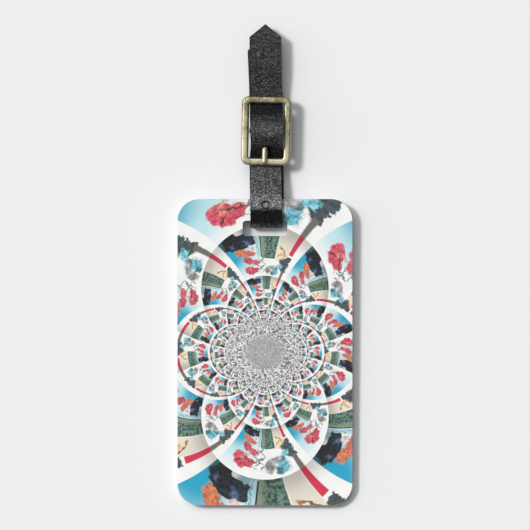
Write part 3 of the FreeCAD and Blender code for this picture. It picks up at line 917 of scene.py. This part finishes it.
# Soft shapes of one tile, which is 1 wide and 1 tall: colour, middle, half sizes, turn, softness.
WASHES = [
    (linear(196, 234, 239), (0.03, 0.42), (0.36, 0.28), 0, 0.6),
    (linear(46, 170, 204), (-0.03, 0.69), (0.27, 0.26), 0, 0.55),
    (linear(44, 120, 134), (0.02, 0.98), (0.14, 0.13), 0, 0.35),
    (linear(150, 190, 198), (0.36, 0.93), (0.10, 0.17), 0, 0.35),
]
BLOTS = [
    (linear(24, 30, 44), (0.20, 0.84), (0.180, 0.120), -14, 0.07),
    (linear(18, 24, 32), (0.12, 0.94), (0.085, 0.080), 30, 0.1),
    (linear(38, 46, 64), (0.36, 0.86), (0.030, 0.075), -8, 0.15),
    (linear(92, 120, 164), (0.29, 0.79), (0.030, 0.050), 20, 0.6),
    (linear(76, 98, 134), (0.11, 0.83), (0.020, 0.034), 40, 0.6),
    (linear(216, 112, 92), (0.25, 0.61), (0.115, 0.050), -22, 0.2),
    (linear(226, 132, 90), (0.16, 0.68), (0.075, 0.060), -40, 0.2),
    (linear(240, 204, 204), (0.325, 0.69), (0.034, 0.066), 16, 0.3),
    (linear(206, 84, 104), (0.22, 0.47), (0.060, 0.100), 24, 0.15),
    (linear(222, 96, 112), (0.33, 0.40), (0.050, 0.090), 62, 0.2),
    (linear(224, 86, 106), (0.205, 0.215), (0.090, 0.130), 24, 0.08),
    (linear(224, 86, 106), (0.285, 0.20), (0.080, 0.085), -10, 0.1),
    (linear(244, 186, 150), (0.25, 0.32), (0.075, 0.016), 28, 0.4),
    (linear(240, 190, 150), (0.27, 0.24), (0.080, 0.012), -14, 0.4),
    (linear(112, 56, 60), (0.29, 0.235), (0.075, 0.010), -22, 0.5),
    (linear(96, 50, 56), (0.18, 0.18), (0.060, 0.010), 48, 0.5),
    (linear(140, 138, 134), (0.560, 0.17), (0.050, 0.095), 0, 0.35),
    (linear(180, 182, 182), (0.64, 0.25), (0.095, 0.055), 20, 0.5),
    (linear(96, 120, 128), (0.74, 0.28), (0.035, 0.080), -40, 0.4),
    (linear(82, 98, 104), (0.80, 0.45), (0.065, 0.060), -20, 0.3),
    (linear(60, 74, 80), (0.815, 0.34), (0.040, 0.130), 6, 0.25),
    (linear(136, 214, 232), (0.775, 0.33), (0.060, 0.052), 12, 0.2),
    (linear(120, 204, 222), (0.70, 0.13), (0.072, 0.100), -22, 0.12),
    (linear(92, 136, 150), (0.645, 0.10), (0.022, 0.070), 24, 0.3),
]
STROKES = [
    (linear(166, 118, 78), (0.735, 0.69), (0.080, 0.010), -52, 0.35),
    (linear(124, 84, 62), (0.765, 0.64), (0.055, 0.012), -62, 0.35),
    (linear(232, 190, 136), (0.760, 0.58), (0.014, 0.070), 24, 0.5),
    (linear(216, 150, 104), (0.715, 0.56), (0.010, 0.050), -30, 0.5),
    (linear(206, 84, 84), (0.822, 0.52), (0.030, 0.040), 0, 0.3),
]


def blot_mask(tree, place, centre, half, turn, soft):
    """1 inside one soft, turned oval of the tile."""
    local = tree.nodes.new("ShaderNodeMapping")
    local.vector_type = "TEXTURE"
    tree.links.new(place.socket, local.inputs["Vector"])
    local.inputs["Location"].default_value = (*centre, 0)
    local.inputs["Rotation"].default_value = (0, 0, math.radians(turn))
    local.inputs["Scale"].default_value = (*half, 1)
    length = tree.nodes.new("ShaderNodeVectorMath")
    length.operation = "LENGTH"
    tree.links.new(local.outputs[0], length.inputs[0])
    return Term(tree, length.outputs["Value"]).ramp(1 + soft, 1 - soft)


def printed_blots(tree, place, colour, shapes, mottle):
    """Paints soft ovals over a colour, each one mottled between a darker and a paler tone of its own."""
    for tint, centre, half, turn, soft in shapes:
        dark = tuple(value * DARKER for value in tint[:3]) + (1.0,)
        pale = tuple(min(1.0, value * PALER + PALE_LIFT) for value in tint[:3]) + (1.0,)
        tones = mixed(tree, mottle, dark, pale)
        colour = mixed(tree, blot_mask(tree, place, centre, half, turn, soft), colour, tones)
    return colour


def printed_bar(tree, u, v, colour, tint, across, along, soft=0.004):
    """Paints one upright bar of the tile over a colour."""
    mask = u.between(*across, soft) * v.between(*along, soft)
    return mixed(tree, mask, colour, tint)


def tile_colour(tree, u, v):
    """The repeated abstract picture: washes, blots, a mottled bar, crossing lines and a striped edge."""
    place = join(tree, u, v)
    wobble_u = noise_at(tree, place, 11.0, 4.0, 0.6) - 0.5
    wobble_v = noise_at(tree, stretched(tree, place, (1, -1, 1)), 11.0, 4.0, 0.6) - 0.5
    rough_u = u + wobble_u * WOBBLE
    rough_v = v + wobble_v * WOBBLE
    rough_place = join(tree, rough_u, rough_v)
    mottle = noise_at(tree, place, 24.0, 5.0, 0.7)
    coarse = noise_at(tree, place, 13.0, 3.0, 0.6)
    speckle = cells_at(tree, place, 26.0)
    colour = mixed(tree, 0.0, WHITE, WHITE)
    for tint, *shape in WASHES:
        colour = mixed(tree, blot_mask(tree, place, *shape), colour, tint)
    green = mixed(tree, mottle.ramp(0.38, 0.62), linear(34, 74, 66), linear(126, 158, 142))
    green = mixed(tree, u.ramp(0.53, 0.46) * 0.8, green, linear(150, 166, 136))
    green = mixed(tree, speckle.ramp(0.24, 0.12) * coarse.ramp(0.52, 0.56), green, linear(232, 190, 190))
    green = mixed(tree, coarse.ramp(0.40, 0.36) * 0.7, green, linear(46, 60, 54))
    colour = printed_bar(tree, u, v, colour, linear(190, 226, 233), (0.375, 0.432), (0.5, 0.985))
    colour = printed_bar(tree, rough_u, v, colour, linear(96, 170, 196), (0.395, 0.405), (0.55, 0.985))
    colour = printed_bar(tree, u, v, colour, green, (0.45, 0.655), (0.47, 1.0))
    colour = printed_bar(tree, u, v, colour, linear(26, 38, 44), (0.436, 0.450), (0.5, 0.985))
    cream = mixed(tree, v.ramp(0.5, 0.9), linear(246, 232, 204), linear(228, 224, 214))
    colour = printed_bar(tree, u, v, colour, cream, (0.662, 0.832), (0.44, 1.0), 0.01)
    folds = (rough_v * 6.0).fraction() * 0.16
    lines = (rough_u - folds - 0.34).size().ramp(0.016, 0.006)
    lines = lines.math("MAXIMUM", (rough_u + folds - 0.51).size().ramp(0.014, 0.005))
    lines = lines.math("MAXIMUM", (rough_u - folds * 0.6 - 0.40).size().ramp(0.012, 0.004))
    lines = lines * u.between(0.35, 0.51, 0.006) * v.between(0.12, 0.46, 0.02)
    colour = mixed(tree, lines * 0.85, colour, linear(84, 78, 78))
    colour = printed_blots(tree, rough_place, colour, BLOTS, mottle.ramp(0.30, 0.68))
    rays = (u - 0.66) / (v + 0.12)
    ray_lines = (rays * 16.0).fraction().between(0.36, 0.6, 0.1)
    ray_lines = ray_lines * u.between(0.64, 0.79, 0.01) * v.between(0.05, 0.23, 0.02)
    colour = mixed(tree, ray_lines * 0.6, colour, linear(38, 70, 84))
    colour = printed_blots(tree, rough_place, colour, STROKES, mottle.ramp(0.2, 0.6))
    brushed = mixed(tree, mottle.ramp(0.3, 0.7), linear(60, 72, 76), linear(92, 104, 106))
    colour = printed_bar(tree, rough_u, rough_v, colour, brushed, (0.825, 0.925), (0.22, 0.60), 0.006)
    colour = printed_bar(tree, u, v, colour, linear(116, 112, 106), (0.838, 0.897), (-0.1, 0.25), 0.01)
    colour = printed_bar(tree, u, v, colour, linear(222, 60, 88), (0.838, 0.897), (0.64, 1.1))
    colour = mixed(tree, rough_u.ramp(0.905, 0.915) * u.ramp(1.01, 0.995), colour, WHITE)
    shade = mixed(tree, v.ramp(0.70, 1.0) * 0.75, (1.0, 1.0, 1.0, 1.0), linear(196, 190, 184))
    colour = multiplied(tree, colour, shade, 1.0)
    faded = mixed(tree, noise_at(tree, place, 5.0, 3.0).ramp(0.35, 0.7), linear(240, 242, 242), WHITE)
    return multiplied(tree, colour, faded, 0.7)


def make_front_print_material():
    """A grid of tiles turned inside out round the print's middle, where it shrinks to a grey blur."""
    material, tree, shader = new_material("printed_front")
    place = object_place(tree)
    x, y, _ = split(tree, place)
    x = x - PRINT_MIDDLE[0]
    y = y - PRINT_MIDDLE[1]
    squared = x * x + y * y
    across = x / squared
    up = y * -1.0 / squared
    u = (across / TILE_WIDE + 0.5).fraction()
    v = (up / TILE_TALL + 0.5).fraction()
    colour = tile_colour(tree, u, v)
    wide, tall = BLUR_HALF
    from_middle = (x * x / (wide * wide) + y * y / (tall * tall)).math("SQRT")
    dots = cells_at(tree, place, 3.2, output="Color")
    dot_value, _, _ = split(tree, dots)
    peppered = mixed(tree, dot_value.ramp(0.40, 0.5), linear(50, 56, 56), linear(244, 244, 244))
    ring = from_middle.ramp(2.1, 1.2) * 0.7
    colour = mixed(tree, ring, colour, peppered)
    blurred = mixed(tree, dot_value, DARK_MIDDLE, PALE_MIDDLE)
    colour = mixed(tree, from_middle.ramp(1.2, 0.7) * 0.95, colour, blurred)
    smear = noise_at(tree, place, 0.35, 3.0)
    scratch = noise_at(tree, stretched(tree, place, (3.0, 0.15, 1.0)), 1.0, 4.0)
    roughness = smear.ramp(0.3, 0.7) * 0.08 + 0.26 + scratch * 0.05
    set_inputs(
        tree, shader,
        Base_Color=colour, Roughness=roughness, IOR=1.49, Specular_IOR_Level=0.35,
        Coat_Weight=0.12, Coat_Roughness=0.12,
    )
    bump(tree, shader, smear * 0.5 + scratch * 0.1, 0.02 * MM, 0.3)
    return material


def make_back_print_material():
    """The back's plain white print, with rules to write an owner's details on."""
    material, tree, shader = new_material("printed_back")
    place = object_place(tree)
    x, y, _ = split(tree, place)
    rows = ((y + 66.0) / 9.0).fraction().between(0.47, 0.53, 0.01)
    rules = rows * x.between(-18.0, 18.0, 0.1) * y.between(-56.0, -16.0, 0.1)
    frame_out = x.between(-22.0, 22.0, 0.1) * y.between(-65.0, 4.0, 0.1)
    frame_in = x.between(-21.5, 21.5, 0.1) * y.between(-64.5, 3.5, 0.1)
    lines = rules.math("MAXIMUM", frame_out - frame_in)
    tone = noise_at(tree, place, 0.4, 3.0)
    paper = mixed(tree, tone.ramp(0.3, 0.7), linear(240, 240, 238), linear(247, 246, 244))
    colour = mixed(tree, lines, paper, linear(96, 100, 108))
    set_inputs(tree, shader, Base_Color=colour, Roughness=tone * 0.1 + 0.28, IOR=1.49)
    bump(tree, shader, tone, 0.02 * MM, 0.3)
    return material


def make_acrylic_material():
    """Pale cast acrylic, a little cloudy, with fine saw marks polished into its edges."""
    material, tree, shader = new_material("cast_acrylic")
    place = object_place(tree)
    cloud = noise_at(tree, place, 0.5, 3.0)
    marks = noise_at(tree, stretched(tree, place, (2.0, 2.0, 0.2)), 1.6, 3.0)
    colour = mixed(tree, cloud.ramp(0.3, 0.7), linear(186, 192, 195), linear(204, 208, 210))
    set_inputs(
        tree, shader,
        Base_Color=colour, Roughness=marks * 0.14 + 0.1, IOR=1.49,
        Subsurface_Weight=0.5, Subsurface_Scale=1.2 * MM,
    )
    shader.inputs["Subsurface Radius"].default_value = (1.0, 1.0, 1.0)
    bump(tree, shader, marks, 0.03 * MM, 0.4)
    return material


# ---------------------------------------------------------------- leather, thread and brass
def make_leather_material():
    """Black leather with a fine pebbled grain, painted glints and a painted sheen where it faces the
    light, and smooth painted edges.
    """
    material, tree, shader = new_material("pebbled_leather")
    flat = kept_place(tree, "flat")
    border = kept_place(tree, "border", "Fac")
    painted_sheen = kept_place(tree, "painted_sheen", "Fac")
    warp = noise_at(tree, flat, 1.3, 2.0)
    pebble = cells_at(tree, flat, 3.1, "SMOOTH_F1")
    grain, _, _ = split(tree, cells_at(tree, flat, 3.1, output="Color"))
    fine = noise_at(tree, flat, 4.5, 3.0, 0.6)
    patch = noise_at(tree, flat, 0.35, 3.0)
    dome = pebble.ramp(0.5, 0.12)
    # Painted glints: pale highlights painted on the pebble tops in the base colour.
    glint = (dome * 0.8 + 0.2) * grain.ramp(0.42, 0.72) * fine.ramp(0.28, 0.42)
    # Painted sheen in patches: lightens both tones where the strap faces the light, and leaves the folds
    # dark as painted shade.
    patchy_painted_sheen = painted_sheen * patch.ramp(0.1, 0.45)
    valley_and_sheen_tone = mixed(tree, patchy_painted_sheen, linear(4, 4, 6), linear(76, 76, 78))
    glint_and_sheen_tone = mixed(tree, patchy_painted_sheen, linear(44, 45, 50), linear(250, 250, 252))
    inked = border.ramp(0.28, 0.14)
    colour = mixed(tree, glint, valley_and_sheen_tone, glint_and_sheen_tone)
    colour = mixed(tree, inked, colour, linear(8, 8, 9))
    height = dome * 0.6 + fine * 0.4 + grain * 0.4 + warp * 0.2
    height = height * border.ramp(0.1, 0.35)
    roughness = fine * 0.16 + 0.36 - inked * 0.06
    set_inputs(tree, shader, Base_Color=colour, Roughness=roughness, Specular_IOR_Level=painted_sheen * 0.5 + 0.12)
    bump(tree, shader, height, 0.22 * MM, 1.0)
    return material


def make_thread_material():
    """Waxed black thread with a fine twist."""
    material, tree, shader = new_material("waxed_thread")
    place = object_place(tree)
    x, y, z = split(tree, place)
    twist = ((x + y + z) * 4.0).fraction().between(0.2, 0.8, 0.2)
    fuzz = noise_at(tree, place, 8.0, 3.0)
    colour = mixed(tree, twist, linear(18, 17, 17), linear(52, 50, 48))
    set_inputs(tree, shader, Base_Color=colour, Roughness=fuzz * 0.3 + 0.5)
    bump(tree, shader, twist + fuzz * 0.4, 0.03 * MM)
    return material


def make_brass_material():
    """Antique brass: brushed pale tops, olive tarnish in streaks, worn bright specks, and painted shade
    darker towards the top bar.
    """
    material, tree, shader = new_material("antique_brass")
    place = object_place(tree)
    x, y, _ = split(tree, place)
    streak = noise_at(tree, stretched(tree, place, (3.4, 1.5, 1.5)), 1.0, 4.0, 0.65)
    speck = noise_at(tree, place, 3.6, 3.0, 0.6)
    cloud = noise_at(tree, place, 0.55, 2.0)
    # Painted shade: the tarnish tone is pushed darker towards the top bar, for the shade on the tilted
    # frame, and a little paler towards the right rail.
    painted_shade_by_side = y.ramp(BAR.y / MM - 6.0, BAR.y / MM + 10.0) * 0.13 - x.ramp(2.0, 7.0) * 0.05 - 0.06
    tarnish_and_painted_shade = (streak * 0.55 + speck * 0.3 + cloud * 0.35 + painted_shade_by_side).ramp(0.50, 0.74)
    colour = mixed(tree, tarnish_and_painted_shade, linear(197, 191, 163), linear(117, 110, 76))
    colour = mixed(tree, speck.ramp(0.60, 0.72) * 0.6, colour, linear(228, 223, 199))
    roughness = streak * 0.2 + speck * 0.12 + 0.28
    set_inputs(tree, shader, Base_Color=colour, Metallic=1.0, Roughness=roughness)
    bump(tree, shader, streak * 0.6 + speck * 0.4, 0.03 * MM, 0.7)
    return material


def make_floor_material():
    """A plain pale surface with a barely uneven tone."""
    material, tree, shader = new_material("pale_floor")
    place = object_place(tree)
    tone = noise_at(tree, place, 0.02, 2.0)
    colour = mixed(tree, tone, linear(238, 238, 239), linear(240, 240, 240))
    set_inputs(tree, shader, Base_Color=colour, Roughness=0.9, Specular_IOR_Level=0.1)
    return material


def dress(piece, material):
    """Gives a piece its material."""
    piece.data.materials.clear()
    piece.data.materials.append(material)


# ---------------------------------------------------------------- floor, light and camera
FLOOR_REACH = 2.5
FLOOR_CELLS = 8
FLOOR_GAP = 0.02 * MM
SUN_TRAVEL = Vector((0.64, -0.32, -1.0))
SUN_STRENGTH = 2.05
SUN_ANGLE = 12.5
FILL = 0.14
# Lit stretches of the room: the way to each, its half angle in degrees and its brightness.
LIT_CEILING = [
    ((0.0, 0.0, 1.0), 30.0, 0.34),
    ((-0.12, 0.5, 0.86), 20.0, 2.6),
    ((-1.0, 0.2, 0.45), 42.0, 0.9),
]
LENS = 900.0
SENSOR = 36.0
CAMERA_HEIGHT = 3.8475


def make_floor():
    bm = bmesh.new()
    bmesh.ops.create_grid(bm, x_segments=FLOOR_CELLS, y_segments=FLOOR_CELLS, size=FLOOR_REACH)
    bmesh.ops.translate(bm, verts=bm.verts, vec=(0, 0, CAD_BOX[0].z - FLOOR_GAP))
    floor = new_piece("floor", bm)
    floor.data.materials.append(make_floor_material())


def make_light():
    """One large soft sun from the upper left, in a pale room with a lit ceiling."""
    lamp = bpy.data.lights.new("sun", "SUN")
    lamp.energy = SUN_STRENGTH
    lamp.angle = math.radians(SUN_ANGLE)
    sun = bpy.data.objects.new("sun", lamp)
    sun.rotation_mode = "QUATERNION"
    sun.rotation_quaternion = SUN_TRAVEL.to_track_quat("-Z", "Y")
    bpy.context.scene.collection.objects.link(sun)

    world = bpy.data.worlds.new("room")
    world.use_nodes = True
    bpy.context.scene.world = world
    tree = world.node_tree
    background = tree.nodes["Background"]
    ray = tree.nodes.new("ShaderNodeTexCoord").outputs["Generated"]
    level = None
    for towards, wide, brightness in LIT_CEILING:
        dot = tree.nodes.new("ShaderNodeVectorMath")
        dot.operation = "DOT_PRODUCT"
        tree.links.new(ray, dot.inputs[0])
        dot.inputs[1].default_value = Vector(towards).normalized()
        glow = Term(tree, dot.outputs["Value"]).ramp(
            math.cos(math.radians(wide)), math.cos(math.radians(wide * 0.5)))
        glow = glow * brightness
        level = glow if level is None else level + glow
    plug(tree, background.inputs["Strength"], level + FILL)
    background.inputs["Color"].default_value = linear(253, 254, 255)


def make_camera():
    """Straight above the tag, far off behind a long lens, so that near and far parts look one size."""
    data = bpy.data.cameras.new("camera")
    data.lens = LENS
    data.sensor_width = SENSOR
    data.clip_start = 0.01
    camera = bpy.data.objects.new("camera", data)
    camera.location = (0, 0, CAMERA_HEIGHT)
    bpy.context.scene.collection.objects.link(camera)
    bpy.context.scene.camera = camera


# ---------------------------------------------------------------- the whole tag
leather = make_leather_material()
brass = make_brass_material()
core, front, back = make_card()
dress(core, make_acrylic_material())
dress(front, make_front_print_material())
dress(back, make_back_print_material())
dress(make_tail(), leather)
dress(make_loop(), leather)
dress(make_stitches(), make_thread_material())
dress(make_buckle(), brass)
dress(make_prong(), brass)
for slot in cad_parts["centre_bar"].material_slots:
    slot.material = brass

make_floor()
make_light()
make_camera()
scene = bpy.context.scene
scene.view_settings.view_transform = "Standard"
scene.view_settings.look = "None"
